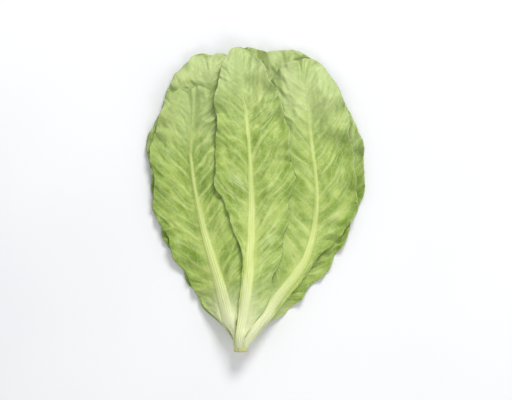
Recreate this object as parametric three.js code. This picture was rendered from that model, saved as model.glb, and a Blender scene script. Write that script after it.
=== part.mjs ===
// A young leaf lettuce, lying on a table, its leaves pressed a little flat one on another.
//
// The plant is one short cut stem with eleven long leaves. Three leaves lie under the stem, ribs down.
// Two small heart leaves lie beyond its tip, and six leaves lie over it and beside it, ribs up.
// Units are millimetres, +Z is up, +Y runs from the cut stem to the leaf tips.
// The origin is on the table, under the middle of the plant.

import * as THREE from 'three';

// Sizes that every leaf shares.
const BLADE_THICKNESS = 0.85;
const RIB_HALF_WIDTH = { base: 6.2, tip: 1.3 };
const RIB_HEIGHT = { base: 3.6, tip: 0.3 };
const GAP = 0.4; // air left between a leaf and what it lies on
// The steepest slope of a leaf that nothing holds up: near the stem, and along the blade.
const DROOP = { base: 0.95, blade: 0.32, from: 18, to: 90 };
const RIB_SHOULDER = 22; // how far from a rib that points down the blade takes to sink to the table

// The outline of a leaf, as shares of its length and of its greatest half width.
const WIDTH = { base: 0.12, wing: 0.38, blade: 0.5 };
const WING_FROM = 0.02;
const WING_TO = 0.19;
const BLADE_FROM = 0.08;
const BLADE_TO = 0.6;
const TIP_FROM = 0.72;
const TIP_ROUNDNESS = 2.4;
const TIP_END = 0.996; // under 1, so that the last row keeps a little width
const FOLDED_SHARE = 0.15; // what is left of a half that is folded under

// Waves of the margin: the length of a wave on each side and round the tip, and of the slow swell of the blade.
const WAVE_LEFT = 37;
const WAVE_RIGHT = 33;
const WAVE_TIP = 31;
const UNEVEN = 0.4; // the share of a second, longer wave in the margin's waves
const SWELL = 74;
const SWELL_HEIGHT = 2;
const SCALLOP = 0.07; // how far the outline itself waves, as a share of the half width
const TIP_RUFFLE = 0.35; // how much higher the waves are towards the tip
const TIP_MARGIN = [0.84, 0.97]; // where the waves of the two sides give way to those round the tip
const TIP_WAVE = 0.7; // the height of the waves round the tip, as a share of the margin's

// Rows along a leaf and columns across it. A column is a share of the rib, or of the blade beside it.
const BLADE_COLUMNS = [0.25, 0.52, 0.78, 1];
const RIB_COLUMNS = [0.45, 1];

const STEM = { cutRadius: 6.3, collarRadius: 7.0, collarAt: 9, neckRadius: 4.6, neckAt: 30, length: 46 };
const STEM_SEGMENTS = 20;
const STEM_STEPS = 12;
const STEM_EDGE = 0.6; // the bevel round the cut

// The grid over the table on which the heights of the pile are kept.
const GRID = { cell: 1, west: -110, south: -14, columns: 250, rows: 320 };
const LAYING_PASSES = 60;
const LAYING_STEP = 0.6; // the share of a missing height that one pass adds
const CLOSE_ENOUGH = 0.02;
const PRESSING = 1.1; // how much each leaf above flattens the waves of this one

// The leaves from the table up. rib holds the points that the midrib passes through, as [x, y].
// left and right are the greatest half widths, and ribs says which way the ribbed back faces.
// wave is the height of the margin's waves, tip is how far the tip stands up, and turn shifts the waves.
// foldedLeft and foldedRight say where along the leaf that half opens out of its fold, and tipFrom where a
// slender tip starts.
const LEAVES = [
  { name: 'leaf_under_left', rib: [[-4.7, 10], [-14, 58], [-29, 118], [-38, 176], [-34, 232]],
    left: 44, right: 46, ribs: -1, wave: 6.5, tip: 3, turn: 0.3, rows: 30 },
  { name: 'leaf_under_right', rib: [[4.7, 9], [18, 58], [39, 116], [52, 176], [54, 240]],
    left: 46, right: 42, ribs: -1, wave: 7, tip: 4, turn: 1.7, rows: 30 },
  { name: 'leaf_under_middle', rib: [[0, 34], [4, 86], [7, 140], [6, 202], [12, 266]],
    left: 42, right: 42, ribs: -1, wave: 6, tip: 3, turn: 4.1, rows: 24 },
  { name: 'heart_leaf_left', rib: [[-4, 49], [-9, 88], [-13, 130], [-14, 172], [-10, 212]],
    left: 27, right: 29, ribs: 1, wave: 4, tip: 2, turn: 2.2, rows: 20 },
  { name: 'heart_leaf_right', rib: [[4, 50], [11, 90], [20, 134], [24, 180], [22, 222]],
    left: 30, right: 28, ribs: 1, wave: 4, tip: 2, turn: 5.2, rows: 20 },
  { name: 'leaf_inner_left', rib: [[-7, 27], [-15, 76], [-26, 136], [-30, 200], [-24, 262]],
    left: 41, right: 42, ribs: 1, wave: 7, tip: 3, turn: 0.9, rows: 30 },
  { name: 'leaf_inner_right', rib: [[7, 26], [18, 74], [31, 134], [38, 200], [42, 266]],
    left: 42, right: 43, ribs: 1, wave: 7, tip: 3, turn: 3.6, rows: 30 },
  { name: 'leaf_side_right', rib: [[8, 17], [31, 54], [57, 100], [74, 156], [79, 220]],
    left: 40, right: 34, ribs: 1, wave: 8, tip: 4, turn: 2.8, rows: 36 },
  { name: 'leaf_side_left', rib: [[-8, 16], [-19, 60], [-34, 112], [-44, 170], [-41, 234]],
    left: 37, right: 40, tipFrom: 0.64, ribs: 1, wave: 8, tip: 3, turn: 1.2, rows: 36 },
  { name: 'leaf_front_right', rib: [[3.5, 7], [31, 45], [58, 84], [67, 134], [61, 196], [55, 258]],
    left: 47, right: 35, foldedRight: [0.38, 0.58],
    ribs: 1, wave: 7.5, tip: 3, turn: 5.6, rows: 40 },
  { name: 'leaf_front_middle', rib: [[-2.5, 6], [5, 52], [9, 104], [8.5, 160], [4, 214], [-3, 267]],
    left: 31, right: 36, foldedLeft: [0.30, 0.55], tipFrom: 0.55,
    ribs: 1, wave: 8, tip: 3, turn: 0.1, rows: 40 },
];

const COLOUR = { leaf: 0xaac66c, heart: 0xc6d68c, stem: 0xe0e2b4 };
const ROUGHNESS = 0.5;

const clamp = (v, low, high) => Math.min(high, Math.max(low, v));
const mix = (a, b, share) => a + (b - a) * share;

function smoothstep(from, to, v) {
  const x = clamp((v - from) / (to - from), 0, 1);
  return x * x * (3 - 2 * x);
}

// The height of everything laid down so far, on a square grid over the table.
class Pile {
  constructor() {
    Object.assign(this, GRID);
    // A leaf may touch the table itself, so the table lies a gap lower.
    this.height = new Float64Array(this.columns * this.rows).fill(-GAP);
  }

  // Calls use(index, low, high) for each cell that the triangle a, b, c reaches. There its height is between
  // low and high.
  over(a, b, c, use) {
    const reach = 0.75 * this.cell;
    const area = (b.x - a.x) * (c.y - a.y) - (c.x - a.x) * (b.y - a.y);
    if (Math.abs(area) < 1e-9) return;
    const slopeX = ((b.z - a.z) * (c.y - a.y) - (c.z - a.z) * (b.y - a.y)) / area;
    const slopeY = ((c.z - a.z) * (b.x - a.x) - (b.z - a.z) * (c.x - a.x)) / area;
    const slack = 0.5 * this.cell * (Math.abs(slopeX) + Math.abs(slopeY));
    const bottom = Math.min(a.z, b.z, c.z);
    const top = Math.max(a.z, b.z, c.z);
    const edges = [[a, b], [b, c], [c, a]].map(([p, q]) => {
      const length = Math.hypot(q.x - p.x, q.y - p.y) * Math.sign(area);
      return { p, nx: -(q.y - p.y) / length, ny: (q.x - p.x) / length };
    });
    const first = (v, start) => Math.floor((v - start - reach) / this.cell - 0.5);
    const last = (v, start) => Math.ceil((v - start + reach) / this.cell - 0.5);
    const xs = [a.x, b.x, c.x];
    const ys = [a.y, b.y, c.y];
    const lastColumn = last(Math.max(...xs), this.west);
    for (let row = first(Math.min(...ys), this.south); row <= last(Math.max(...ys), this.south); row++) {
      const y = this.south + (row + 0.5) * this.cell;
      for (let column = first(Math.min(...xs), this.west); column <= lastColumn; column++) {
        const x = this.west + (column + 0.5) * this.cell;
        const inside = edges.every((e) => (x - e.p.x) * e.nx + (y - e.p.y) * e.ny >= -reach);
        if (!inside) continue;
        const z = a.z + slopeX * (x - a.x) + slopeY * (y - a.y);
        use(row * this.columns + column, Math.max(bottom, z - slack), Math.min(top, z + slack));
      }
    }
  }

  // The value of a map of this grid at a point, between the four cells round it.
  sample(map, x, y) {
    const u = clamp((x - this.west) / this.cell - 0.5, 0, this.columns - 1.001);
    const v = clamp((y - this.south) / this.cell - 0.5, 0, this.rows - 1.001);
    const column = Math.floor(u);
    const row = Math.floor(v);
    const at = row * this.columns + column;
    const near = mix(map[at], map[at + 1], u - column);
    const far = mix(map[at + this.columns], map[at + this.columns + 1], u - column);
    return mix(near, far, v - row);
  }

  // The surface that a leaf takes over the pile: it rests on the high spots and droops from them.
  support() {
    const map = Float64Array.from(this.height);
    const steps = [[-1, 0, 1], [0, -1, 1], [-1, -1, Math.SQRT2], [1, -1, Math.SQRT2]];
    for (const way of [1, -1]) {
      for (let n = 0; n < map.length; n++) {
        const at = way > 0 ? n : map.length - 1 - n;
        const column = at % this.columns;
        const y = this.south + Math.floor(at / this.columns) * this.cell;
        const slope = mix(DROOP.base, DROOP.blade, smoothstep(DROOP.from, DROOP.to, y));
        for (const [dx, dy, far] of steps) {
          const from = at + way * (dx + dy * this.columns);
          const side = column + way * dx;
          if (from < 0 || from >= map.length || side < 0 || side >= this.columns) continue;
          map[at] = Math.max(map[at], map[from] - slope * far * this.cell);
        }
      }
    }
    return this.blurred(map, 5);
  }

  blurred(map, radius) {
    const pass = (source, step, count, stride, lines) => {
      const out = new Float64Array(source.length);
      for (let line = 0; line < lines; line++) {
        for (let i = 0; i < count; i++) {
          let sum = 0;
          for (let k = -radius; k <= radius; k++) {
            sum += source[line * stride + clamp(i + k, 0, count - 1) * step];
          }
          out[line * stride + i * step] = sum / (2 * radius + 1);
        }
      }
      return out;
    };
    const across = pass(map, 1, this.columns, this.columns, this.rows);
    return pass(across, this.columns, this.rows, 1, this.columns);
  }
}

// How far along each row lies, as a share of the leaf's length. Rows are closer together at the round tip.
function rowShare(leaf, row) {
  const even = row / leaf.rows;
  return Math.min(1, even + 0.14 * Math.sin(Math.PI * even));
}

// The columns of a leaf from its left margin to its right one.
const COLUMNS = [1, -1].flatMap((side) => {
  const half = [
    ...RIB_COLUMNS.map((share) => ({ side, rib: share, blade: 0 })),
    ...BLADE_COLUMNS.map((share) => ({ side, rib: 1, blade: share })),
  ];
  return side > 0 ? half.reverse() : half;
});

function halfWidth(leaf, side, t) {
  const widest = side > 0 ? leaf.left : leaf.right;
  const turn = leaf.turn + side;
  const wing = WIDTH.wing * smoothstep(WING_FROM, WING_TO, t);
  const body = WIDTH.base + wing + WIDTH.blade * smoothstep(BLADE_FROM, BLADE_TO, t);
  const tipFrom = leaf.tipFrom ?? TIP_FROM;
  const tip = Math.sqrt(1 - TIP_END * clamp((t - tipFrom) / (1 - tipFrom), 0, 1) ** TIP_ROUNDNESS);
  const wave = (2 * Math.PI * leaf.length * t) / (side > 0 ? WAVE_LEFT : WAVE_RIGHT);
  const uneven = 0.6 * Math.sin(wave + 2 * turn) + 0.4 * Math.sin(0.63 * wave - 3 * turn);
  const scallop = 1 + SCALLOP * smoothstep(0.1, 0.3, t) * uneven;
  const folded = side > 0 ? leaf.foldedLeft : leaf.foldedRight;
  const kept = folded ? mix(FOLDED_SHARE, 1, smoothstep(folded[0], folded[1], t)) : 1;
  const whole = widest * body * tip * scallop;
  return mix(Math.min(whole, widest * WIDTH.base * tip), whole, kept);
}

function ribHalfWidth(leaf, t) {
  const whole = mix(RIB_HALF_WIDTH.base, RIB_HALF_WIDTH.tip, Math.min(1, t * 1.25) ** 0.8);
  return Math.min(whole, 0.8 * halfWidth(leaf, 1, t), 0.8 * halfWidth(leaf, -1, t));
}

const ribHeight = (t) => mix(RIB_HEIGHT.base, RIB_HEIGHT.tip, Math.min(1, t * 1.1) ** 0.7);

// How high the leaf's own waves lift it above what it lies on, at a distance offset from its midrib.
function relief(leaf, side, blade, offset, t) {
  const wave = (2 * Math.PI * leaf.length * t) / (side > 0 ? WAVE_LEFT : WAVE_RIGHT);
  const turn = leaf.turn * (2 + side);
  const swell = (2 * Math.PI * leaf.length * t) / SWELL;
  const reach = leaf.wave * smoothstep(0.04, 0.25, t) * (1 + TIP_RUFFLE * smoothstep(0.5, 0.95, t));
  const uneven = mix(Math.sin(wave + turn), Math.sin(0.58 * wave - 2 * turn), UNEVEN);
  const margin = reach * blade ** 2.2 * (0.5 + 0.5 * uneven) * (1 - smoothstep(...TIP_MARGIN, t));
  const middle = Math.sin(Math.PI * Math.min(1, blade * 1.2));
  const body = SWELL_HEIGHT * middle * (0.5 + 0.5 * Math.sin(swell + leaf.turn - side));
  const across = 0.5 + 0.5 * Math.sin((2 * Math.PI * offset) / WAVE_TIP + 3 * leaf.turn);
  return margin + body + (leaf.tip + TIP_WAVE * leaf.wave * across) * smoothstep(0.8, 0.98, t);
}

// The points of a leaf seen from above, row by row, with what its section needs there.
function plan(leaf) {
  const through = leaf.rib.map(([x, y]) => new THREE.Vector3(x, y, 0));
  const curve = new THREE.CatmullRomCurve3(through, false, 'catmullrom', 0.5);
  leaf.length = curve.getLength();
  const rows = [];
  for (let row = 0; row <= leaf.rows; row++) {
    const t = rowShare(leaf, row);
    const centre = curve.getPoint(t);
    const along = curve.getTangent(t);
    const rib = ribHalfWidth(leaf, t);
    rows.push(COLUMNS.map((column) => {
      const out = column.blade ? mix(rib, halfWidth(leaf, column.side, t), column.blade) : rib * column.rib;
      const offset = column.side * out;
      return {
        x: centre.x - along.y * offset,
        y: centre.y + along.x * offset,
        beside: Math.max(0, out - rib),
        rib: column.rib < 1 ? ribHeight(t) : 0,
        lift: relief(leaf, column.side, column.blade, offset, t),
        t,
      };
    }));
  }
  return rows;
}

// Every triangle of one face of the leaf, as three [row, column] pairs. Both faces are split alike.
function triangles(rows) {
  const list = [];
  for (let row = 0; row + 1 < rows.length; row++) {
    for (let column = 0; column + 1 < COLUMNS.length; column++) {
      list.push([[row, column], [row, column + 1], [row + 1, column + 1]]);
      list.push([[row, column], [row + 1, column + 1], [row + 1, column]]);
    }
  }
  return list;
}

// Marks the cells that a leaf covers in a map of the pile's grid.
function cover(pile, rows, map) {
  const covered = new Set();
  for (const corners of triangles(rows)) {
    const [a, b, c] = corners.map(([row, column]) => ({ ...rows[row][column], z: 0 }));
    pile.over(a, b, c, (at) => covered.add(at));
  }
  for (const at of covered) map[at] += 1;
}

// Lays a leaf on the pile: gives each of its points a lower and an upper height, clear of what is beneath.
function lay(pile, leaf, rows, covers) {
  const support = pile.support();
  const pressing = pile.blurred(covers, 6);
  for (const row of rows) {
    for (const p of row) {
      const pressed = 1 / (1 + PRESSING * pile.sample(pressing, p.x, p.y));
      const ribBelow = leaf.ribs < 0 ? ribHeight(p.t) * (1 - smoothstep(0, RIB_SHOULDER, p.beside)) : 0;
      p.below = leaf.ribs < 0 ? p.rib : 0;
      p.above = leaf.ribs > 0 ? p.rib : 0;
      p.floor = pile.sample(support, p.x, p.y) + GAP + ribBelow + p.lift * pressed;
    }
  }
  const faces = triangles(rows);
  const lower = (p) => ({ x: p.x, y: p.y, z: p.floor - p.below });
  for (let pass = 0; pass < LAYING_PASSES; pass++) {
    let worst = 0;
    for (const corners of faces) {
      const points = corners.map(([row, column]) => rows[row][column]);
      let needed = 0;
      const [a, b, c] = points.map(lower);
      pile.over(a, b, c, (at, low) => {
        needed = Math.max(needed, pile.height[at] + GAP - low);
      });
      if (needed > 0) for (const p of points) p.raise = Math.max(p.raise ?? 0, needed);
      worst = Math.max(worst, needed);
    }
    for (const p of rows.flat()) {
      p.floor += LAYING_STEP * (p.raise ?? 0);
      p.raise = 0;
    }
    if (worst < CLOSE_ENOUGH) break;
  }
  const upper = (p) => ({ x: p.x, y: p.y, z: p.floor + BLADE_THICKNESS + p.above });
  for (const corners of faces) {
    const [a, b, c] = corners.map(([row, column]) => upper(rows[row][column]));
    pile.over(a, b, c, (at, low, high) => {
      pile.height[at] = Math.max(pile.height[at], high);
    });
  }
}

// The closed solid of a leaf: two faces with the same triangles, and a rim between them.
function leafGeometry(rows) {
  const across = COLUMNS.length;
  const count = rows.length * across;
  const position = [];
  for (const p of rows.flat()) position.push(p.x, p.y, p.floor - p.below);
  for (const p of rows.flat()) position.push(p.x, p.y, p.floor + BLADE_THICKNESS + p.above);
  const index = [];
  const at = ([row, column], face) => row * across + column + face * count;
  for (const [a, b, c] of triangles(rows)) {
    index.push(at(a, 0), at(c, 0), at(b, 0));
    index.push(at(a, 1), at(b, 1), at(c, 1));
  }
  const last = rows.length - 1;
  const rim = [
    ...Array.from({ length: across }, (_, column) => [0, column]),
    ...Array.from({ length: last }, (_, row) => [row + 1, across - 1]),
    ...Array.from({ length: across - 1 }, (_, column) => [last, across - 2 - column]),
    ...Array.from({ length: last - 1 }, (_, row) => [last - 1 - row, 0]),
  ];
  rim.forEach((from, n) => {
    const to = rim[(n + 1) % rim.length];
    index.push(at(from, 0), at(to, 0), at(to, 1));
    index.push(at(from, 0), at(to, 1), at(from, 1));
  });
  const geometry = new THREE.BufferGeometry();
  geometry.setAttribute('position', new THREE.Float32BufferAttribute(position, 3));
  geometry.setIndex(index);
  return geometry;
}

// The stem's radius, from the cut end to the growing tip.
function stemRadius(y) {
  const { cutRadius, collarRadius, collarAt, neckRadius, neckAt } = STEM;
  if (y < collarAt) return mix(cutRadius, collarRadius, smoothstep(0, collarAt, y));
  if (y < neckAt) return mix(collarRadius, neckRadius, smoothstep(collarAt, neckAt, y));
  const share = (y - neckAt) / (STEM.length - neckAt);
  return neckRadius * Math.sqrt(Math.max(0, 1 - share * share));
}

// Lays the stem on the leaves that are under it, and returns the height of its axis.
function layStem(pile) {
  let axis = 0;
  const cells = [];
  for (let row = 0; row < pile.rows; row++) {
    const y = pile.south + (row + 0.5) * pile.cell;
    if (y < -1 || y > STEM.length + 1) continue;
    const radius = stemRadius(clamp(y, 0, STEM.length)) + 0.5 * pile.cell;
    for (let column = 0; column < pile.columns; column++) {
      const x = pile.west + (column + 0.5) * pile.cell;
      if (Math.abs(x) >= radius) continue;
      const at = row * pile.columns + column;
      const bulge = Math.sqrt(radius * radius - x * x);
      cells.push([at, bulge]);
      axis = Math.max(axis, pile.height[at] + bulge + GAP);
    }
  }
  for (const [at, bulge] of cells) pile.height[at] = Math.max(pile.height[at], axis + bulge);
  return axis;
}

function painted(geometry, colour) {
  const material = new THREE.MeshStandardMaterial({ color: colour, roughness: ROUGHNESS, metalness: 0 });
  return new THREE.Mesh(geometry, material);
}

function stemMesh(axis) {
  const profile = [new THREE.Vector2(0, 0), new THREE.Vector2(STEM.cutRadius - STEM_EDGE, 0)];
  for (let step = 0; step < STEM_STEPS; step++) {
    const y = mix(STEM_EDGE, STEM.length, step / STEM_STEPS);
    profile.push(new THREE.Vector2(stemRadius(y), y));
  }
  profile.push(new THREE.Vector2(0, STEM.length));
  const mesh = painted(new THREE.LatheGeometry(profile, STEM_SEGMENTS), COLOUR.stem);
  mesh.name = 'stem';
  mesh.position.z = axis;
  return mesh;
}

function leafMesh(leaf, rows) {
  const mesh = painted(leafGeometry(rows), leaf.name.startsWith('heart') ? COLOUR.heart : COLOUR.leaf);
  mesh.name = leaf.name;
  return mesh;
}

// Lays the leaves and the stem one on another, and stands the origin under their middle.
function lettuce() {
  const plant = new THREE.Group();
  const pile = new Pile();
  const plans = LEAVES.map(plan);
  LEAVES.forEach((leaf, n) => {
    if (leaf.name === 'heart_leaf_left') plant.add(stemMesh(layStem(pile)));
    const covers = new Float64Array(pile.height.length);
    plans.slice(n + 1).forEach((rows) => cover(pile, rows, covers));
    lay(pile, leaf, plans[n], covers);
    plant.add(leafMesh(leaf, plans[n]));
  });
  const box = new THREE.Box3().setFromObject(plant);
  const middle = box.getCenter(new THREE.Vector3());
  plant.position.set(-middle.x, -middle.y, -box.min.z);
  return plant;
}

export default lettuce();
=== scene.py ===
"""A young leaf lettuce, lying on a pale table with its leaves pressed a little flat one on another.

Every leaf is one closed sheet. Its midrib, width and height come from the same values as the solids,
and its veins, blisters and frilled margin are worked into that sheet.
Lengths are in millimetres until a mesh is made.
"""

import math

import bmesh
import bpy
import numpy as np
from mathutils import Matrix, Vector


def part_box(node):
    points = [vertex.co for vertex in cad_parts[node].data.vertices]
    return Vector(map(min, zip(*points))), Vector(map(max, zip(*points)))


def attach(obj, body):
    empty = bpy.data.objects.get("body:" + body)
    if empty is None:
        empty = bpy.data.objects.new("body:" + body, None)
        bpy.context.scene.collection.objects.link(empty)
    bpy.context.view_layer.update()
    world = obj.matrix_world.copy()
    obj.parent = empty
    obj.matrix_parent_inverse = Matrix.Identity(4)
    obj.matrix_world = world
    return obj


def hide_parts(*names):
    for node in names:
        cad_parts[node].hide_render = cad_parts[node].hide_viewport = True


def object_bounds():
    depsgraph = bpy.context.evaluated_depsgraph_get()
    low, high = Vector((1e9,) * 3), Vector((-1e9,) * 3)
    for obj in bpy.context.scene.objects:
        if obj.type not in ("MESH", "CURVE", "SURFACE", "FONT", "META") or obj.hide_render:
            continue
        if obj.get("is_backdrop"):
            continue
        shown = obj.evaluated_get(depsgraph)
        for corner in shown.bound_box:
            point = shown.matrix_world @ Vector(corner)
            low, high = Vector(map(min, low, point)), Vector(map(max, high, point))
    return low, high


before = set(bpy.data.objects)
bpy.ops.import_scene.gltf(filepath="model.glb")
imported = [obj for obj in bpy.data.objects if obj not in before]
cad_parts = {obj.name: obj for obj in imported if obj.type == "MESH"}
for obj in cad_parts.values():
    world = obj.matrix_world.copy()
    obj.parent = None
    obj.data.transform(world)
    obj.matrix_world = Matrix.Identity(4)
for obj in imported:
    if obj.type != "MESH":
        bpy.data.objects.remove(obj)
solid_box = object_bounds()
MM = 0.001
TURN = 2 * math.pi

# The solids' own values: outline, waves and rib of a leaf.
BLADE_THICKNESS = 0.85
RIB_HALF_WIDTH = (6.2, 1.3)  # at the base and at the tip
RIB_HEIGHT = (3.6, 0.3)
WIDTH_BASE, WIDTH_WING, WIDTH_BLADE = 0.12, 0.38, 0.5  # what each part of the outline adds, as a share
WING_FROM, WING_TO = 0.02, 0.19
BLADE_FROM, BLADE_TO = 0.08, 0.6
TIP_FROM, TIP_ROUNDNESS, TIP_END = 0.72, 2.4, 0.996
FOLDED_SHARE = 0.15  # how much of a half still shows where it is folded under
WAVE_LEFT, WAVE_RIGHT = 37, 33
SCALLOP = 0.07
ROW_CROWDING = 0.14  # how much closer the rows are towards the tip
BLADE_COLUMNS = (0.25, 0.52, 0.78, 1)
RIB_COLUMNS = (0.45, 1)

# The leaves from the table up, with the points that the midrib passes through, as (x, y) from the cut.
LEAVES = [
    dict(name="leaf_under_left", rib=[(-4.7, 10), (-14, 58), (-29, 118), (-38, 176), (-34, 232)],
         left=44, right=46, ribs=-1, turn=0.3, rows=30),
    dict(name="leaf_under_right", rib=[(4.7, 9), (18, 58), (39, 116), (52, 176), (54, 240)],
         left=46, right=42, ribs=-1, turn=1.7, rows=30),
    dict(name="leaf_under_middle", rib=[(0, 34), (4, 86), (7, 140), (6, 202), (12, 266)],
         left=42, right=42, ribs=-1, turn=4.1, rows=24),
    dict(name="heart_leaf_left", rib=[(-4, 49), (-9, 88), (-13, 130), (-14, 172), (-10, 212)],
         left=27, right=29, ribs=1, turn=2.2, rows=20),
    dict(name="heart_leaf_right", rib=[(4, 50), (11, 90), (20, 134), (24, 180), (22, 222)],
         left=30, right=28, ribs=1, turn=5.2, rows=20),
    dict(name="leaf_inner_left", rib=[(-7, 27), (-15, 76), (-26, 136), (-30, 200), (-24, 262)],
         left=41, right=42, ribs=1, turn=0.9, rows=30),
    dict(name="leaf_inner_right", rib=[(7, 26), (18, 74), (31, 134), (38, 200), (42, 266)],
         left=42, right=43, ribs=1, turn=3.6, rows=30),
    dict(name="leaf_side_right", rib=[(8, 17), (31, 54), (57, 100), (74, 156), (79, 220)],
         left=40, right=34, ribs=1, turn=2.8, rows=36),
    dict(name="leaf_side_left", rib=[(-8, 16), (-19, 60), (-34, 112), (-44, 170), (-41, 234)],
         left=37, right=40, tip_from=0.64, ribs=1, turn=1.2, rows=36),
    dict(name="leaf_front_right", rib=[(3.5, 7), (31, 45), (58, 84), (67, 134), (61, 196), (55, 258)],
         left=47, right=35, folded_right=(0.38, 0.58), ribs=1, turn=5.6, rows=40),
    dict(name="leaf_front_middle", rib=[(-2.5, 6), (5, 52), (9, 104), (8.5, 160), (4, 214), (-3, 267)],
         left=31, right=36, folded_left=(0.30, 0.55), tip_from=0.55, ribs=1, turn=0.1, rows=40),
]

# The fine sheet of a leaf.
ROWS, COLUMNS = 210, 84
COLUMN_CROWDING = 1.15  # the power that brings the columns closer near the rib
RIB_SHARE = 0.16  # the share of a half's columns that the rib takes
SHEET = 0.5  # how thick a blade is
AIR = 0.12  # the least gap between two sheets
LIFT_REACH = 4  # over how many points a leaf that has to rise does so
COVER_REACH = 8  # over how many cells of the map a leaf's cover fades out
MATCH = 0.06  # how near a solid's corner has to be to count as the one at a row and column

# Notches of the margin: how long and how deep they are.
SHORT_NOTCH = (5.5, 0.9)
LONG_NOTCH = (15, 1.6)
TIP_NOTCH = 1.2  # how deep they are round the tip, as a share of those along the sides
TIP_ROWS_FROM = 0.78  # the share of a leaf's length from which the margin goes round the tip
TIP_SOFTNESS = 2.5  # how much farther than the nearest a bit of margin may be and still count

# Side veins, and the short folds that run in from the margin between two of them.
VEIN_SPACING = 13.0
VEIN_HEIGHT = 0.75
VEIN_SLANT, VEIN_CURVE = 0.85, 0.005  # how far ahead it gets on its way out, evenly and ever faster
VEIN_WANDER = ((5.5, 30), (2.0, 11))  # how far a vein strays, and over what length
VEIN_FORK = 0.26  # how far its two ends part, as a share of the spacing
VEIN_WIDTH = (1.4, 0.6)  # at the rib and at the margin
CREASE_DEPTH = 2.2
CREASE_WIDTH = 1.7

# Pits between the small veins, and the crumpling of the whole blade.
PIT_DEPTH = 1.15
PIT_SIZES = (11.0, 5.0)
SMALL_PITS = 0.35  # how deep the small ones are, as a share of the large ones
CRUMPLE = 3.3
CRUMPLE_SIZES = (31, 13)

# The frilled margin.
FRILL_LENGTH = 15.5
FRILL_HEIGHT = 2.9
FRILL_DEPTH = 10.0  # how far in from the margin the frill reaches
FRILL_FULLNESS = 0.16  # how much fuller its crests are than a sine's, as a share of their height
FRILL_CHANGE = (27, 25)  # over what length its spacing and its height change

# The base of a leaf, which clasps the stem.
CLASP_TO = 0.055  # the share of the leaf's length along which it does
CLASP_SINK = 4.4  # how deep its end is in the stem
CLASP_SHIFT = 4  # how far it is drawn towards the cut
CLASP_ENDS = (2.5, 5)  # how far it stays from the cut and from the stem's top
CLASP_OVER = 1  # how far outside the stem's skin its curve is measured

# The stem: its radius at the cut, where it is widest, and at its neck, and where the last two are.
CUT_RADIUS, WIDEST_RADIUS, NECK_RADIUS = 6.3, 7.0, 4.6
WIDEST_AT, NECK_AT = 9, 30
FACE_RADIUS = 6.15
FACE_DISH = 0.25  # how deep the cut face is hollowed
RIM = 0.45  # how far up the side starts, past the rounded rim
SCAR_AT = 5.5  # how far from the cut the scar of a fallen leaf goes round

# The map of heights: how wide a cell is, and how far the map goes past the solids.
MAP_CELL = 0.9
MAP_BORDER = 12

# Colours as a picture shows them, from 0 to 255.
OUTER_LEAF = dict(blade=(188, 209, 108), shade=(137, 170, 60), light=(218, 231, 172),
                  rib=(226, 239, 150), base=(248, 252, 208))
# A darker copy of the outer leaf's colours, for the leaves at the sides and underneath: painted shade.
SHADED_SIDE_LEAF = dict(blade=(178, 201, 97), shade=(127, 161, 53), light=(211, 226, 160),
                  rib=(224, 237, 148), base=(248, 252, 208))
HEART_LEAF = dict(blade=(206, 224, 138), shade=(190, 212, 118), light=(222, 234, 166),
                  rib=(226, 235, 174), base=(238, 241, 202))
GLOW = 0.2  # the share of light that a leaf lets through
YOUNG_GLOW = 0.06  # how much more a heart leaf does

# The table and the camera, in metres apart from the camera's aim, which is from the cut.
TABLE_HALF_WIDTH = 1.6
VIEW_ACROSS = 0.449  # how wide a strip the camera sees at the height of VIEW_HEIGHT
VIEW_HEIGHT = 0.02
CAMERA_AWAY = 2.2
CAMERA_SENSOR = 36  # in millimetres, as its lens is
CAMERA_RIGHT, CAMERA_AHEAD = 13.2, 133.3

stem_low, stem_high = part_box("stem")
STEM_X = (stem_low.x + stem_high.x) / 2 / MM
STEM_Y = stem_low.y / MM
STEM_Z = (stem_low.z + stem_high.z) / 2 / MM
STEM_LENGTH = (stem_high.y - stem_low.y) / MM


def mix(a, b, share):
    return a + (b - a) * share


def smoothstep(start, end, value):
    x = np.clip((value - start) / (end - start), 0, 1)
    return x * x * (3 - 2 * x)


def through(knots, values, at):
    """A smooth curve through values at the knots, read along the first axis."""
    knots = np.asarray(knots, float)
    slopes = np.gradient(values, knots, axis=0)
    n = np.clip(np.searchsorted(knots, at) - 1, 0, len(knots) - 2)
    step = knots[n + 1] - knots[n]
    x = ((at - knots[n]) / step)[:, None]
    step = step[:, None]
    low = (1 + 2 * x) * (1 - x) ** 2 * values[n] + x * (1 - x) ** 2 * step * slopes[n]
    return low + x * x * (3 - 2 * x) * values[n + 1] + x * x * (x - 1) * step * slopes[n + 1]


def lumps(x, y, size, seed):
    """Smooth lumps between -1 and 1, about as wide as size."""
    grid = np.random.default_rng(seed).uniform(-1, 1, (64, 64))
    u, v = np.asarray(x) / size + 31.7, np.asarray(y) / size + 17.3
    i, j = np.floor(u).astype(int), np.floor(v).astype(int)
    a, b = smoothstep(0, 1, u - i), smoothstep(0, 1, v - j)
    corner = lambda di, dj: grid[(i + di) % 64, (j + dj) % 64]
    return mix(mix(corner(0, 0), corner(1, 0), a), mix(corner(0, 1), corner(1, 1), a), b)


def cells(x, y, size, seed):
    """0 on the border between two cells of an uneven net, and more towards the middle of a cell."""
    jitter = np.random.default_rng(seed).uniform(0.08, 0.92, (64, 64, 2))
    u, v = np.asarray(x) / size + 23.0, np.asarray(y) / size + 29.0
    i, j = np.floor(u).astype(int), np.floor(v).astype(int)
    first = np.full(u.shape, 9.0)
    second = first.copy()
    for di in (-1, 0, 1):
        for dj in (-1, 0, 1):
            spot = jitter[(i + di) % 64, (j + dj) % 64]
            far = np.hypot(i + di + spot[..., 0] - u, j + dj + spot[..., 1] - v)
            second = np.minimum(second, np.maximum(first, far))
            first = np.minimum(first, far)
    return second - first


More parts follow.
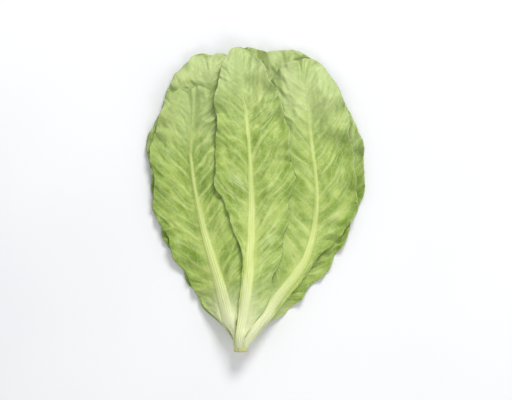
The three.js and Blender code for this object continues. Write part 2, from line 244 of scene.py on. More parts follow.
def rib_point(leaf, t):
    """The midrib at the shares t of its length, and its direction there."""
    p = np.array(leaf["rib"], float)
    p = np.vstack([2 * p[0] - p[1], p, 2 * p[-1] - p[-2]])
    at = np.clip(t, 0, 1) * (len(p) - 3)
    n = np.minimum(at.astype(int), len(p) - 4)
    w = (at - n)[:, None]
    a, b, c, d = p[n], p[n + 1], p[n + 2], p[n + 3]
    m, q = (c - a) / 2, (d - b) / 2
    place = b + m * w + (3 * (c - b) - 2 * m - q) * w**2 + (2 * (b - c) + m + q) * w**3
    way = m + 2 * (3 * (c - b) - 2 * m - q) * w + 3 * (2 * (b - c) + m + q) * w**2
    return place, way / np.linalg.norm(way, axis=1)[:, None]


def measure(leaf):
    """Gives the leaf the length of its midrib."""
    place, _ = rib_point(leaf, np.linspace(0, 1, 201))
    leaf["length"] = np.linalg.norm(np.diff(place, axis=0), axis=1).sum()


def row_share(even):
    return np.minimum(1, even + ROW_CROWDING * np.sin(math.pi * even))


def half_width(leaf, side, t):
    """How far a half of the leaf reaches from the midrib, with the scallops of its margin."""
    widest = leaf["left"] if side > 0 else leaf["right"]
    turn = leaf["turn"] + side
    body = WIDTH_BASE + WIDTH_WING * smoothstep(WING_FROM, WING_TO, t)
    body = body + WIDTH_BLADE * smoothstep(BLADE_FROM, BLADE_TO, t)
    tip_from = leaf.get("tip_from", TIP_FROM)
    tip = np.sqrt(1 - TIP_END * np.clip((t - tip_from) / (1 - tip_from), 0, 1) ** TIP_ROUNDNESS)
    wave = TURN * leaf["length"] * t / (WAVE_LEFT if side > 0 else WAVE_RIGHT)
    uneven = 0.6 * np.sin(wave + 2 * turn) + 0.4 * np.sin(0.63 * wave - 3 * turn)
    whole = widest * body * tip * (1 + SCALLOP * smoothstep(0.1, 0.3, t) * uneven)
    folded = leaf.get("folded_left" if side > 0 else "folded_right")
    kept = mix(FOLDED_SHARE, 1, smoothstep(*folded, t)) if folded else 1
    return mix(np.minimum(whole, widest * WIDTH_BASE * tip), whole, kept)


def rib_half_width(leaf, t):
    whole = mix(*RIB_HALF_WIDTH, np.minimum(1, t * 1.25) ** 0.8)
    return np.minimum(whole, 0.8 * np.minimum(half_width(leaf, 1, t), half_width(leaf, -1, t)))


def rib_height(t):
    return mix(*RIB_HEIGHT, np.minimum(1, t * 1.1) ** 0.7)


def solid_heights(leaf):
    """The middle of the blade's solid at each of its own rows and columns, left margin first."""
    t = row_share(np.arange(leaf["rows"] + 1) / leaf["rows"])
    place, way = rib_point(leaf, t)
    rib = rib_half_width(leaf, t)
    half = [(1, share, 0) for share in RIB_COLUMNS] + [(1, 1, share) for share in BLADE_COLUMNS]
    columns = half[::-1] + [(-1, r, b) for _, r, b in half]
    co = np.array([v.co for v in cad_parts[leaf["name"]].data.vertices]) / MM
    heights = np.zeros((len(t), len(columns)))
    for n, (side, rib_share, share) in enumerate(columns):
        out = mix(rib, half_width(leaf, side, t), share) if share else rib * rib_share
        x = place[:, 0] - way[:, 1] * out * side + STEM_X
        y = place[:, 1] + way[:, 0] * out * side + STEM_Y
        for row in range(len(t)):
            near = np.hypot(co[:, 0] - x[row], co[:, 1] - y[row]) < MATCH
            z = co[near, 2]
            if leaf["ribs"] > 0:
                heights[row, n] = z.min() + BLADE_THICKNESS / 2
            else:
                heights[row, n] = z.max() - BLADE_THICKNESS / 2
    across = [side * (RIB_SHARE * r + (1 - RIB_SHARE) * b) for side, r, b in columns]
    return np.arange(leaf["rows"] + 1) / leaf["rows"], -np.array(across), heights


def solid_middle(leaf, p):
    """The middle of the blade's solid, read smoothly at each point of the fine sheet."""
    knots, columns, heights = solid_heights(leaf)
    order = np.argsort(columns)
    middle = through(knots, heights, p["even"])
    return through(columns[order], middle.T[order], p["across"]).T


class Heights:
    """The height of all that lies on the table so far, kept on a square grid of cells."""

    def __init__(self):
        self.low = np.array([solid_box[0][0], solid_box[0][1]]) / MM - MAP_BORDER
        high = np.array([solid_box[1][0], solid_box[1][1]]) / MM + MAP_BORDER
        self.shape = tuple(((high - self.low) / MAP_CELL).astype(int) + 2)
        self.map = np.zeros(self.shape)

    def spot(self, x, y):
        """Where a point is on the map, in cells."""
        return (x - self.low[0]) / MAP_CELL - 0.5, (y - self.low[1]) / MAP_CELL - 0.5

    def stamp(self, x, y, z, into=None):
        """Raises the map to a sheet, whose points are first made twice as close."""

        def closer(a):
            a = np.repeat(a, 2, axis=0)[:-1]
            a[1::2] = (a[:-1:2] + a[2::2]) / 2
            a = np.repeat(a, 2, axis=1)[:, :-1]
            a[:, 1::2] = (a[:, :-1:2] + a[:, 2::2]) / 2
            return a

        u, v = self.spot(closer(x), closer(y))
        target = self.map if into is None else into
        np.maximum.at(target, (np.rint(u).astype(int), np.rint(v).astype(int)), closer(z))
        return target

    def read(self, x, y, source=None):
        """The height at each point, between the four nearest cells."""
        source = self.map if source is None else source
        u, v = self.spot(x, y)
        i, j = np.floor(u).astype(int), np.floor(v).astype(int)
        a, b = u - i, v - j
        near = mix(source[i, j], source[i + 1, j], a)
        return mix(near, mix(source[i, j + 1], source[i + 1, j + 1], a), b)


def spread(a, steps):
    """Blurs a sheet's values over its neighbours, a few times."""
    for _ in range(steps):
        a = np.pad(a, 1, mode="edge")
        a = (a[:-2, 1:-1] + a[2:, 1:-1] + a[1:-1, :-2] + a[1:-1, 2:] + 2 * a[1:-1, 1:-1]) / 6
    return a


def widened(a, steps):
    """Gives each value of a sheet the highest one near it."""
    for _ in range(steps):
        a = np.pad(a, 1, mode="edge")
        beside = [a[:-2, 1:-1], a[2:, 1:-1], a[1:-1, :-2], a[1:-1, 2:]]
        a = np.maximum.reduce([a[1:-1, 1:-1], *beside])
    return a


def round_the_tip(round_margin, across, along, t):
    """Near the tip, gives each point the place round the margin that the nearest bits of margin have."""
    first = np.searchsorted(t[:, 0], TIP_ROWS_FROM)
    edge = np.concatenate([round_margin[first:, 0], round_margin[first:, -1]])
    edge_across = np.concatenate([across[first:, 0], across[first:, -1]])
    edge_along = np.concatenate([along[first:, 0], along[first:, 0]])
    along_here = along[first:] + 0 * across[first:]
    far = np.hypot(across[first:, :, None] - edge_across, along_here[:, :, None] - edge_along)
    weight = np.exp((far.min(axis=2, keepdims=True) - far) / TIP_SOFTNESS)
    near = (weight * edge).sum(axis=2) / weight.sum(axis=2)
    result = round_margin.copy()
    share = smoothstep(TIP_ROWS_FROM, TIP_ROWS_FROM + 0.08, t[first:])
    result[first:] = mix(round_margin[first:], near, share)
    return result


def leaf_plan(leaf, seed):
    """The fine sheet of a leaf seen from above, and what its shape and colour need at each point."""
    even = np.linspace(0, 1, ROWS + 1)
    t = row_share(even)
    place, way = rib_point(leaf, t)
    rib = rib_half_width(leaf, t)[:, None]
    across = np.linspace(-1, 1, COLUMNS + 1)
    across = np.sign(across) * np.abs(across) ** COLUMN_CROWDING
    share = np.abs(across)[None, :]
    blade = np.clip((share - RIB_SHARE) / (1 - RIB_SHARE), 0, 1)
    side = np.where(across < 0, 1, -1)[None, :]
    half = np.where(side > 0, half_width(leaf, 1, t)[:, None], half_width(leaf, -1, t)[:, None])
    s = leaf["length"] * t[:, None]
    t = t[:, None]

    # How far round the margin each point is from the tip: less than 0 on the right side.
    margin = np.hypot(np.diff(s, axis=0), np.diff(half, axis=0))
    round_margin = np.cumsum(np.vstack([margin, half[-1:]])[::-1], axis=0)[::-1]
    narrowing = np.gradient(half, axis=0)
    outward = -narrowing / np.hypot(narrowing, np.gradient(s, axis=0))
    plain_out = side * np.where(share < RIB_SHARE, rib * share / RIB_SHARE, mix(rib, half, blade))
    round_margin = round_the_tip(round_margin * side + 0 * plain_out, plain_out, s, t)

    # The notches of the margin move its points out, and ahead where the margin goes round the tip.
    loose = smoothstep(0.1, 0.34, t)
    short, short_depth = SHORT_NOTCH
    long, long_depth = LONG_NOTCH
    notch = lumps(round_margin, seed, short, seed + 1) * short_depth
    notch = notch + lumps(round_margin, seed, long, seed + 2) * long_depth
    half = half + loose * notch * np.clip(half / 20, 0.15, 1)
    ahead = TIP_NOTCH * notch * np.clip(outward, 0, 1) * smoothstep(0.86, 1.0, t)
    out = np.where(share < RIB_SHARE, rib * share / RIB_SHARE, mix(rib, half, blade))
    x = place[:, :1] - way[:, 1:] * out * side + way[:, :1] * ahead + STEM_X
    y = place[:, 1:] + way[:, :1] * out * side + way[:, 1:] * ahead + STEM_Y
    whole = 0 * out
    return dict(even=even, across=across, t=t, s=s + whole, out=out, side=side + whole, signed=out * side,
                blade=blade + whole, rib=rib + whole, half=half + whole, x=x, y=y, way=way,
                beside=np.maximum(0, out - rib), round_margin=round_margin)


def side_veins(p, leaf, seed):
    """1 on a side vein, 1 in a crease, and where along the rib each point's vein starts.

    The veins leave the rib slanting, curve towards the tip, and fork half way out.
    The creases run in from the margin, half way between two veins.
    """
    start = p["s"] - VEIN_SLANT * p["beside"] - VEIN_CURVE * p["beside"] ** 2
    (broad, broad_length), (slight, slight_length) = VEIN_WANDER
    wander = broad * lumps(p["s"], p["signed"], broad_length, seed + 7)
    wander = wander + slight * lumps(p["s"], p["signed"], slight_length, seed + 8)
    phase = (start + wander) / VEIN_SPACING + 0.35 * p["side"] + leaf["turn"]
    nearest = np.rint(phase)
    fork = smoothstep(0.3, 0.75, p["blade"]) * VEIN_FORK
    gap = np.abs(np.abs(phase - nearest) - fork) * VEIN_SPACING
    uneven = np.random.default_rng(seed).random(97)[(nearest.astype(int) * 7 + 40) % 97]
    strength = 0.45 + 0.55 * uneven
    width = mix(*VEIN_WIDTH, p["blade"])
    fade = mix(1, 0.4, p["blade"]) * smoothstep(0.02, 0.1, p["t"]) * smoothstep(1.0, 0.9, p["t"])
    vein = np.exp(-((gap / width) ** 2)) * strength * fade

    between = np.floor(phase).astype(int)
    deep = np.random.default_rng(seed + 1).random(97)[(between * 5 + 30 + 11 * (p["side"] > 0)) % 97]
    far = np.abs(phase - between - 0.5) * VEIN_SPACING
    reach = smoothstep(0.9 - 0.55 * deep, 1.0, p["blade"]) * smoothstep(0.55, 0.75, deep)
    crease = np.exp(-((far / CREASE_WIDTH) ** 2)) * reach * smoothstep(0.2, 0.4, p["t"])
    return vein, crease, start + wander


def blade_relief(p, leaf, vein, crease, start, off_rib, pressed, seed):
    """How far veins, pits, creases and crumpling move the sheet up or down."""
    near_tip = smoothstep(0.35, 0.9, p["t"])
    large, small = PIT_SIZES
    sideways = p["beside"] * p["side"]
    pits = smoothstep(0, 0.75, cells(start * 0.8, sideways, large, seed + 3))
    pits = pits + SMALL_PITS * smoothstep(0, 0.7, cells(start, sideways, small, seed + 4))
    sunk = PIT_DEPTH * pits * mix(0.6, 1.4, near_tip)
    relief = leaf["ribs"] * off_rib * (VEIN_HEIGHT * vein - sunk)
    relief = relief - CREASE_DEPTH * crease * (0.4 + 0.6 * pressed)
    large, small = CRUMPLE_SIZES
    ridges = 1 - 1.6 * np.abs(lumps(p["s"], p["signed"] * 1.5, large, seed + 9))
    ridges = ridges + 0.6 * lumps(p["s"], p["signed"], small, seed + 10)
    loose = CRUMPLE * (0.4 + 0.6 * pressed) * mix(0.35, 1.2, near_tip)
    return relief + loose * ridges * off_rib * p["blade"] ** 0.5


def frilled_margin(p, leaf, pressed, seed):
    """How far the frill moves the sheet up or down, and out or in."""
    spacing_change, height_change = FRILL_CHANGE
    shift = 0.6 * lumps(p["round_margin"], seed, spacing_change, seed + 5)
    frill = TURN * (p["round_margin"] / FRILL_LENGTH + shift)
    uneven = smoothstep(-0.6, 0.8, lumps(p["round_margin"], seed, height_change, seed + 6))
    reach = FRILL_HEIGHT * (0.15 + 1.1 * uneven)
    inside = np.maximum(0, np.minimum(p["half"] - p["out"], leaf["length"] * (1 - p["t"])))
    open_half = np.maximum(smoothstep(8, 24, p["half"]), smoothstep(0.8, 0.9, p["t"]))
    fade = np.exp(-((inside / FRILL_DEPTH) ** 1.3))
    reach = reach * pressed * open_half * fade * smoothstep(0.08, 0.3, p["t"])
    fuller = -FRILL_FULLNESS * reach * np.sin(2 * frill) * smoothstep(0.95, 0.8, p["t"])
    return reach * np.sin(frill), fuller


def sheet_sides(p, vein, off_rib):
    """How far the ribbed and the plain face of the sheet are from its middle, and the rib's dome."""
    dome = np.sqrt(np.clip(1 - (p["out"] / (1.12 * p["rib"])) ** 2, 0, 1))
    streaks = 0.09 * np.sin(p["signed"] * 3.4 + 0.8 * np.sin(p["s"] / 23)) * dome
    shoulder = 0.5 * np.exp(-p["beside"] / 3.5) * (1 - 0.6 * p["t"])
    body = SHEET / 2 + 0.12 * vein * off_rib
    section = dome ** 1.7 * 1.04 + streaks * 1.5
    ribbed = body + rib_height(p["t"]) * section * smoothstep(1.0, 0.6, p["t"]) + shoulder
    return ribbed, body + 0 * ribbed, dome


def clasping_base(p, leaf, middle, ribbed, plain):
    """Bends the base of a leaf round the stem and sinks its end.

    Gives the sheet's x and y, and the heights of its upper and lower face.
    """
    ribbed_up = leaf["ribs"] > 0
    top, bottom = (ribbed, plain) if ribbed_up else (plain, ribbed)
    grown = 1 - smoothstep(0.0, CLASP_TO, p["t"])
    low, high = CLASP_ENDS
    clasp_y = np.clip(p["y"] - CLASP_SHIFT, STEM_Y + low, STEM_Y + STEM_LENGTH - high)
    y = mix(p["y"], clasp_y, grown)
    round_stem = stem_radius(y - STEM_Y)
    half_way = COLUMNS // 2
    start_angle = math.atan2(p["x"][0, half_way] - STEM_X, middle[0, half_way] - STEM_Z)
    angle = start_angle - leaf["ribs"] * p["signed"] / (round_stem + CLASP_OVER)
    sunk = round_stem - CLASP_SINK * grown ** 2
    outer, inner = sunk + ribbed, sunk - plain
    x = mix(p["x"], STEM_X + round_stem * np.sin(angle), grown)
    radius_top, radius_bottom = (outer, inner) if ribbed_up else (inner, outer)
    z_top = mix(middle + top, STEM_Z + radius_top * np.cos(angle), grown)
    z_bottom = mix(middle - bottom, STEM_Z + radius_bottom * np.cos(angle), grown)
    return x, y, z_top, z_bottom


def leaf_mesh(leaf, pile, covered, seed):
    """One leaf, laid on the pile. It is pressed flat where other leaves cover it."""
    p = leaf_plan(leaf, seed)
    middle = solid_middle(leaf, p)
    pressed = 1 / (1 + 0.9 * pile.read(p["x"], p["y"], covered))
    off_rib = smoothstep(0, 5, p["beside"])
    vein, crease, start = side_veins(p, leaf, seed)
    rise, fuller = frilled_margin(p, leaf, pressed, seed)
    middle = middle + blade_relief(p, leaf, vein, crease, start, off_rib, pressed, seed) + rise
    p["x"] = p["x"] + p["way"][:, :1] * fuller * p["side"]
    p["y"] = p["y"] + p["way"][:, 1:] * fuller * p["side"]
    ribbed, plain, dome = sheet_sides(p, vein, off_rib)
    bottom = plain if leaf["ribs"] > 0 else ribbed

    # No sheet goes through one that lies beneath it, or through the table.
    free = smoothstep(0.03, 0.07, p["t"]) + 0 * middle
    need = np.maximum(0, pile.read(p["x"], p["y"]) + AIR - (middle - bottom)) * free
    need = np.maximum(need, AIR / 4 - (middle - bottom))
    middle = middle + spread(widened(need, LIFT_REACH), LIFT_REACH)

    x, y, z_top, z_bottom = clasping_base(p, leaf, middle, ribbed, plain)
    pile.stamp(x, y, z_top)
    for end in (0, -1):
        z_bottom[end] = z_top[end] = (z_top[end] + z_bottom[end]) / 2
    for side in (0, -1):
        z_bottom[:, side] = z_top[:, side] = (z_top[:, side] + z_bottom[:, side]) / 2

    # What the materials read at each point: where it is, how its vein runs, and what is there.
    values = dict(place=(p["signed"] / 10, p["s"] / 10, seed * 1.7 + 0 * x),
                  flow=(start / 10, p["beside"] / 10, seed * 2.3 + p["side"]),
                  marks=(vein * off_rib, dome * smoothstep(0.97, 0.3, p["t"]), p["blade"]),
                  where=(p["t"] + 0 * x, p["out"] / 10, p["side"]))
    around = lambda upper, lower: np.hstack([upper, lower[:, -2::-1]])
    values = {key: [around(a, a) for a in value] for key, value in values.items()}
    places = (around(x, x), around(y, y), around(z_top, z_bottom))
    return wrapped_grid(leaf["name"] + "_blade", places, values)


def new_piece(name, bm):
    """Makes an object of the mesh, at the origin."""
    mesh = bpy.data.meshes.new(name)
    bm.to_mesh(mesh)
    bm.free()
    piece = bpy.data.objects.new(name, mesh)
    bpy.context.scene.collection.objects.link(piece)
    return piece


def wrapped_grid(name, places, values):
    """A closed piece: a grid is laid at the given places, and where it meets itself it is merged."""
    rows, columns = places[0].shape
    bm = bmesh.new()
    bmesh.ops.create_grid(bm, x_segments=columns - 1, y_segments=rows - 1, size=1)
    layers = {key: bm.verts.layers.float_vector.new(key) for key in values}
    places = np.stack(places, axis=-1).reshape(-1, 3) * MM
    for vert, co in zip(bm.verts, places.tolist()):
        vert.co = co
    for key, layer in layers.items():
        spots = np.stack(values[key], axis=-1).reshape(-1, 3)
        for vert, spot in zip(bm.verts, spots.tolist()):
            vert[layer] = spot
    bmesh.ops.remove_doubles(bm, verts=bm.verts, dist=2e-6)
    bmesh.ops.recalc_face_normals(bm, faces=bm.faces)
    for face in bm.faces:
        face.smooth = True
    return new_piece(name, bm)


def colour(red, green, blue):
    """A colour as a picture shows it, made linear."""
    linear = lambda v: v / 12.92 if v <= 0.04045 else ((v + 0.055) / 1.055) ** 2.4
    return tuple(linear(v / 255) for v in (red, green, blue)) + (1,)


class Nodes:
    """Short ways to build a material's nodes."""

    def __init__(self, name):
        self.material = bpy.data.materials.new(name)
        self.material.use_nodes = True
        self.tree = self.material.node_tree
        self.tree.nodes.clear()
        self.output = self.add("ShaderNodeOutputMaterial")

    def add(self, kind, values=None, **settings):
        node = self.tree.nodes.new(kind)
        for key, value in settings.items():
            setattr(node, key, value)
        for key, value in (values or {}).items():
            if isinstance(value, bpy.types.NodeSocket):
                self.tree.links.new(value, node.inputs[key])
            else:
                node.inputs[key].default_value = value
        return node

    def attribute(self, name):
        """A piece's own values, whole and as its three parts."""
        node = self.add("ShaderNodeAttribute", attribute_name=name)
        parts = self.add("ShaderNodeSeparateXYZ", {"Vector": node.outputs["Vector"]})
        return node.outputs["Vector"], parts.outputs

    def math(self, operation, a, b=0.0, clamp=False):
        node = self.add("ShaderNodeMath", {0: a, 1: b}, operation=operation, use_clamp=clamp)
        return node.outputs[0]

    def range(self, value, start, end, low=0.0, high=1.0):
        values = {"Value": value, "From Min": start, "From Max": end, "To Min": low, "To Max": high}
        node = self.add("ShaderNodeMapRange", values, interpolation_type="SMOOTHSTEP")
        return node.outputs["Result"]

    def blend(self, share, first, second):
        values = {0: share, 6: first, 7: second}
        return self.add("ShaderNodeMix", values, data_type="RGBA").outputs[2]

    def scaled(self, vector, size):
        node = self.add("ShaderNodeVectorMath", {0: vector, 1: size}, operation="MULTIPLY")
        return node.outputs[0]

    def noise(self, vector, scale, detail=3.0, roughness=0.55):
        values = {"Vector": vector, "Scale": scale, "Detail": detail, "Roughness": roughness}
        return self.add("ShaderNodeTexNoise", values).outputs[0]

    def finish(self, surface, glow, share):
        """Mixes the surface with the light that shines through, and gives the material."""
        both = self.add("ShaderNodeMixShader", {0: share, 1: surface.outputs[0], 2: glow.outputs[0]})
        self.tree.links.new(both.outputs[0], self.output.inputs["Surface"])
        return self.material


def vein_net(n, place, off_rib):
    """The net of small veins, in a coarse and a fine size: 1 on a vein and 0 between veins."""
    wobble = n.add("ShaderNodeTexNoise", {"Vector": place, "Scale": 1.6, "Detail": 2.0})
    wobble = n.scaled(wobble.outputs["Color"], (0.5, 0.5, 0.0))
    bent = n.add("ShaderNodeVectorMath", {0: place, 1: wobble}, operation="ADD").outputs[0]
    bent = n.scaled(bent, (1.0, 0.8, 1.0))
    nets = []
    for scale, width in ((1.5, 0.1), (4.2, 0.14)):
        net = n.add("ShaderNodeTexVoronoi", {"Vector": bent, "Scale": scale}, feature="DISTANCE_TO_EDGE")
        line = n.range(net.outputs["Distance"], 0.0, width, 1.0, 0.0)
        nets.append(n.math("MULTIPLY", line, off_rib))
    return nets


def blade_paint(n, place, margin, along, vein, coarse, fine, tones):
    """Patches and streaks that follow the veins, then the net, the side veins, the paler margin, and a
    paler tip that is partly painted haze and reflection.
    """
    flow, _ = n.attribute("flow")
    broad = n.noise(n.scaled(flow, (0.9, 0.28, 1.0)), 1.0, 4.0, 0.6)
    narrow = n.noise(n.scaled(flow, (3.6, 0.45, 1.0)), 1.0, 3.0, 0.6)
    patches = n.range(n.math("ADD", n.noise(place, 0.5, 5.0, 0.62), broad), 0.8, 1.2)
    paint = n.blend(patches, tones["shade"], tones["blade"])
    paint = n.blend(n.range(narrow, 0.5, 0.72, 0.0, 0.5), paint, tones["light"])
    paint = n.blend(n.range(narrow, 0.46, 0.3, 0.0, 0.5), paint, tones["shade"])
    darker = n.math("MULTIPLY", n.range(margin, 0.6, 0.95, 0.0, 0.4), n.range(along, 0.3, 0.6))
    paint = n.blend(darker, paint, tones["shade"])
    paint = n.blend(n.math("MULTIPLY", coarse, 0.18), paint, tones["light"])
    paint = n.blend(n.math("MULTIPLY", fine, 0.15), paint, tones["light"])
    paint = n.blend(n.math("MULTIPLY", vein, 0.75), paint, tones["rib"])
    paint = n.blend(n.range(margin, 0.965, 1.0, 0.0, 0.6), paint, tones["light"])
    # Paler towards the tip: partly the tip's own paler green, partly a painted haze of reflected light.
    return n.blend(n.range(along, 0.7, 0.97, 0.0, 0.62), paint, tones["light"])


def rib_paint(n, paint, along, out, rib_mask, streaks, tones):
    """The pale rib over the blade's paint, with its halo, its whitish streaks and the whitish base."""
    whitish = n.math("MULTIPLY", n.range(streaks, 0.35, 0.7), n.range(along, 0.06, 0.4, 1.0, 0.2))
    flesh = n.blend(whitish, tones["rib"], tones["base"])
    halo = n.math("MULTIPLY", n.range(along, 0.3, 0.75, 1.0, 0.0), n.range(out, 0.2, 1.2, 1.0, 0.0))
    paint = n.blend(n.math("MULTIPLY", halo, 0.42), paint, tones["rib"])
    midrib = n.range(rib_mask, 0.02, 0.9)
    midrib = n.math("MULTIPLY", midrib, n.range(along, 0.35, 0.95, 1.0, 0.5))
    line = n.range(out, 0.08, 0.2, 0.75, 0.0)
    line = n.math("MULTIPLY", line, n.range(along, 0.72, 0.92, 1.0, 0.0))
    paint = n.blend(n.math("MAXIMUM", midrib, line), paint, flesh)
    pale = n.math("MULTIPLY", n.range(along, 0.02, 0.3, 1.0, 0.0), n.range(out, 0.2, 2.6, 1.0, 0.3))
    return n.blend(n.math("MULTIPLY", pale, 0.85), paint, tones["base"])


def leaf_material(name, colours, young=0.0):
    tones = {part: colour(*shown) for part, shown in colours.items()}
    n = Nodes(name)
    place, _ = n.attribute("place")
    _, (vein, rib_mask, margin) = n.attribute("marks")
    _, (along, out, _) = n.attribute("where")
    off_rib = n.math("SUBTRACT", 1.0, rib_mask, clamp=True)
    coarse, fine = vein_net(n, place, off_rib)
    streaks = n.noise(n.scaled(place, (14.0, 0.35, 1.0)), 1.0, 3.0)
    paint = blade_paint(n, place, margin, along, vein, coarse, fine, tones)
    paint = rib_paint(n, paint, along, out, rib_mask, streaks, tones)

    # Relief too fine for the sheet.
    height = n.math("ADD", n.math("MULTIPLY", coarse, 0.6), n.math("MULTIPLY", fine, 0.3))
    height = n.math("ADD", height, n.math("MULTIPLY", n.noise(place, 7.0, 4.0), 0.5))
    height = n.math("ADD", height, n.math("MULTIPLY", n.math("MULTIPLY", streaks, rib_mask), 1.2))
    bump = n.add("ShaderNodeBump", {"Height": height, "Strength": 0.55, "Distance": 0.00035})
    rough = n.range(n.noise(place, 2.2, 4.0), 0.3, 0.7, 0.36, 0.54)
    surface = n.add("ShaderNodeBsdfPrincipled", {
        "Base Color": paint, "Roughness": rough, "Normal": bump.outputs[0], "IOR": 1.42,
        "Specular IOR Level": 0.42})
    shining_through = n.blend(0.35, paint, tones["light"])
    glow = n.add("ShaderNodeBsdfTranslucent", {"Color": shining_through, "Normal": bump.outputs[0]})
    return n.finish(surface, glow, GLOW + young)


def stem_material():
    n = Nodes("stem_flesh")
    place, (along, out, _) = n.attribute("place")
    streaks = n.noise(n.scaled(place, (0.4, 1.0, 9.0)), 1.0, 4.0)
    skin = n.blend(n.range(streaks, 0.35, 0.7), colour(196, 208, 130), colour(226, 229, 178))

    # The cut face: grained flesh, a browned ring, a few browned spots and the browned rim.
    ring = n.math("MULTIPLY", n.range(out, 0.36, 0.56), n.range(out, 0.56, 0.66, 1.0, 0.35))
    grain = n.noise(n.scaled(place, (3.0, 9.0, 1.6)), 1.0, 4.0)
    cut = n.blend(n.range(grain, 0.35, 0.7), colour(232, 230, 190), colour(214, 205, 150))
    cut = n.blend(n.math("MULTIPLY", ring, 0.55), cut, colour(190, 150, 96))
    browned = n.range(n.noise(n.scaled(place, (2.0, 5.0, 1.0)), 1.0, 3.0), 0.6, 0.8, 0.0, 0.5)
    cut = n.blend(browned, cut, colour(178, 128, 84))
    paint = n.blend(n.range(along, 0.02, 0.09), cut, skin)
    rim = n.math("MULTIPLY", n.range(along, 0.02, 0.07), n.range(along, 0.1, 0.3, 1.0, 0.0))
    paint = n.blend(n.math("MULTIPLY", rim, 0.45), paint, colour(186, 150, 98))

    height = n.math("ADD", streaks, grain)
    bump = n.add("ShaderNodeBump", {"Height": height, "Strength": 0.5, "Distance": 0.0004})
    surface = n.add("ShaderNodeBsdfPrincipled", {
        "Base Color": paint, "Roughness": n.range(grain, 0.3, 0.7, 0.42, 0.6), "Normal": bump.outputs[0],
        "Specular IOR Level": 0.4})
    glow = n.add("ShaderNodeBsdfTranslucent", {"Color": paint})
    return n.finish(surface, glow, 0.12)


def stem_radius(y):
    """The stem's radius at y from the cut. Past its neck it closes like an egg."""
    low = mix(CUT_RADIUS, WIDEST_RADIUS, smoothstep(0, WIDEST_AT, y))
    low = mix(low, NECK_RADIUS, smoothstep(WIDEST_AT, NECK_AT, y))
    closing = (y - NECK_AT) / (STEM_LENGTH - NECK_AT)
    return np.where(y < NECK_AT, low, NECK_RADIUS * np.sqrt(np.maximum(0, 1 - closing ** 2)))


def stem_mesh(pile):
    """The stem with its cut end: a grid is wrapped round the axis, and each end closes in a point."""
    face = np.linspace(0, 1, 12)[:-1]
    side = RIM + (STEM_LENGTH - RIM) * np.linspace(0, 1, 56) ** 1.1
    y = np.concatenate([FACE_DISH * (1 - face**2), side])[:, None]
    rounded = 0.35 * np.exp(-side / 0.5)
    radius = np.concatenate([face * FACE_RADIUS, stem_radius(side) - rounded])[:, None]
    angle = np.linspace(0, TURN, 65)[None, :]
    outer = smoothstep(0.5, 4, y)
    lobes = 0.22 * np.sin(3 * angle + 0.7) + 0.14 * np.sin(5 * angle + y * 0.1) + 0.07 * np.sin(17 * angle)
    scars = 0.35 * np.exp(-(((y - SCAR_AT - 1.5 * np.sin(2 * angle + 1)) / 0.7) ** 2))
    r = radius * (1 + 0.03 * lobes) + outer * (lobes * 0.6 - scars) * np.minimum(1, radius / 4)
    x, z = r * np.sin(angle) + STEM_X, r * np.cos(angle) + STEM_Z
    rough = 0.16 * lumps(r * np.sin(angle) * 2.2, r * np.cos(angle) * 2.2, 1.6, 71) * (1 - outer)
    along = y + rough * np.minimum(1, radius / 2) + STEM_Y + 0 * x
    pile.stamp(x[:, :-1], along[:, :-1], z[:, :-1])
    place = (y / 10 + 0 * x, radius / 10 + 0 * x, angle + 0 * x)
    return wrapped_grid("stem_with_cut", (x, along, z), dict(place=place))


def build_stem(pile):
    stem = stem_mesh(pile)
    stem.data.materials.append(stem_material())
    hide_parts("stem")
    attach(stem, "root")


def build_lettuce():
    """The leaves from the table up, with the stem where the heart leaves begin."""
    pile = Heights()
    masks = []
    for n, leaf in enumerate(LEAVES):
        measure(leaf)
        leaf["seed"] = 10 * n + 3
        p = leaf_plan(leaf, leaf["seed"])
        masks.append(pile.stamp(p["x"], p["y"], 1 + 0 * p["x"], into=np.zeros(pile.shape)))
    outer = leaf_material("outer_leaf", OUTER_LEAF)
    # The darker copy paints shade on the leaves at the sides and underneath.
    shaded_side = leaf_material("shaded_side_leaf", SHADED_SIDE_LEAF)
    inner = leaf_material("heart_leaf", HEART_LEAF, YOUNG_GLOW)
    for n, leaf in enumerate(LEAVES):
        if leaf["name"] == "heart_leaf_left":
            build_stem(pile)
        covered = spread(sum(masks[n + 1:], np.zeros(pile.shape)), COVER_REACH)
        piece = leaf_mesh(leaf, pile, covered, leaf["seed"])
        heart = leaf["name"].startswith("heart")
        outermost = leaf["name"].startswith(("leaf_side", "leaf_under"))
        piece.data.materials.append(inner if heart else shaded_side if outermost else outer)
        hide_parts(leaf["name"])
        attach(piece, "root")


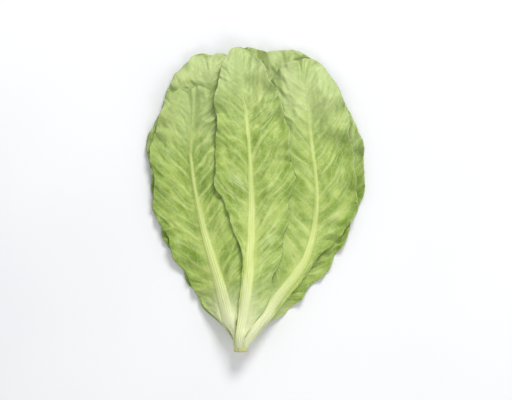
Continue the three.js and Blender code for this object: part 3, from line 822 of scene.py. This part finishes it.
def build_table():
    bm = bmesh.new()
    bmesh.ops.create_grid(bm, x_segments=8, y_segments=8, size=TABLE_HALF_WIDTH)
    table = new_piece("table_top", bm)
    n = Nodes("pale_table")
    spot = n.add("ShaderNodeTexCoord").outputs["Object"]
    clouds = n.range(n.noise(spot, 3.0, 2.0), 0.3, 0.7)
    paint = n.blend(clouds, colour(234, 235, 238), colour(240, 241, 243))
    values = {"Base Color": paint, "Roughness": 0.7, "Specular IOR Level": 0.25}
    surface = n.add("ShaderNodeBsdfPrincipled", values)
    n.tree.links.new(surface.outputs[0], n.output.inputs["Surface"])
    table.data.materials.append(n.material)
    table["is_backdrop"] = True


def add_light(name, place, aim, size, power):
    light = bpy.data.lights.new(name, "AREA")
    light.shape = "DISK"
    light.size = size
    light.energy = power
    lamp = bpy.data.objects.new(name, light)
    lamp.location = place
    way = Vector(np.subtract(aim, place))
    lamp.rotation_euler = way.to_track_quat("-Z", "Y").to_euler()
    bpy.context.scene.collection.objects.link(lamp)


def build_studio():
    scene = bpy.context.scene
    world = bpy.data.worlds.new("studio")
    world.use_nodes = True
    back = world.node_tree.nodes["Background"]
    back.inputs["Color"].default_value = colour(248, 248, 248)
    back.inputs["Strength"].default_value = 0.56
    scene.world = world
    scene.view_settings.view_transform = "Standard"
    add_light("window_key", place=(0.3, 0.95, 1.15), aim=(0, 0, 0), size=0.55, power=15.5)
    add_light("soft_fill", place=(0.35, -1.0, 1.15), aim=(0, -0.1, 0), size=1.0, power=5)


def build_camera():
    """The camera looks straight down, with its aim a little right of the cut."""
    camera = bpy.data.cameras.new("camera")
    camera.sensor_width = CAMERA_SENSOR
    camera.lens = CAMERA_SENSOR * CAMERA_AWAY / VIEW_ACROSS
    holder = bpy.data.objects.new("camera", camera)
    right, ahead = (STEM_X + CAMERA_RIGHT) * MM, (STEM_Y + CAMERA_AHEAD) * MM
    holder.location = (right, ahead, CAMERA_AWAY + VIEW_HEIGHT)
    holder.rotation_euler = (0, 0, 0)
    bpy.context.scene.collection.objects.link(holder)
    bpy.context.scene.camera = holder


build_lettuce()
build_table()
build_studio()
build_camera()
finished_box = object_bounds()
({"solids": [list(corner) for corner in solid_box],
           "finished": [list(corner) for corner in finished_box]})
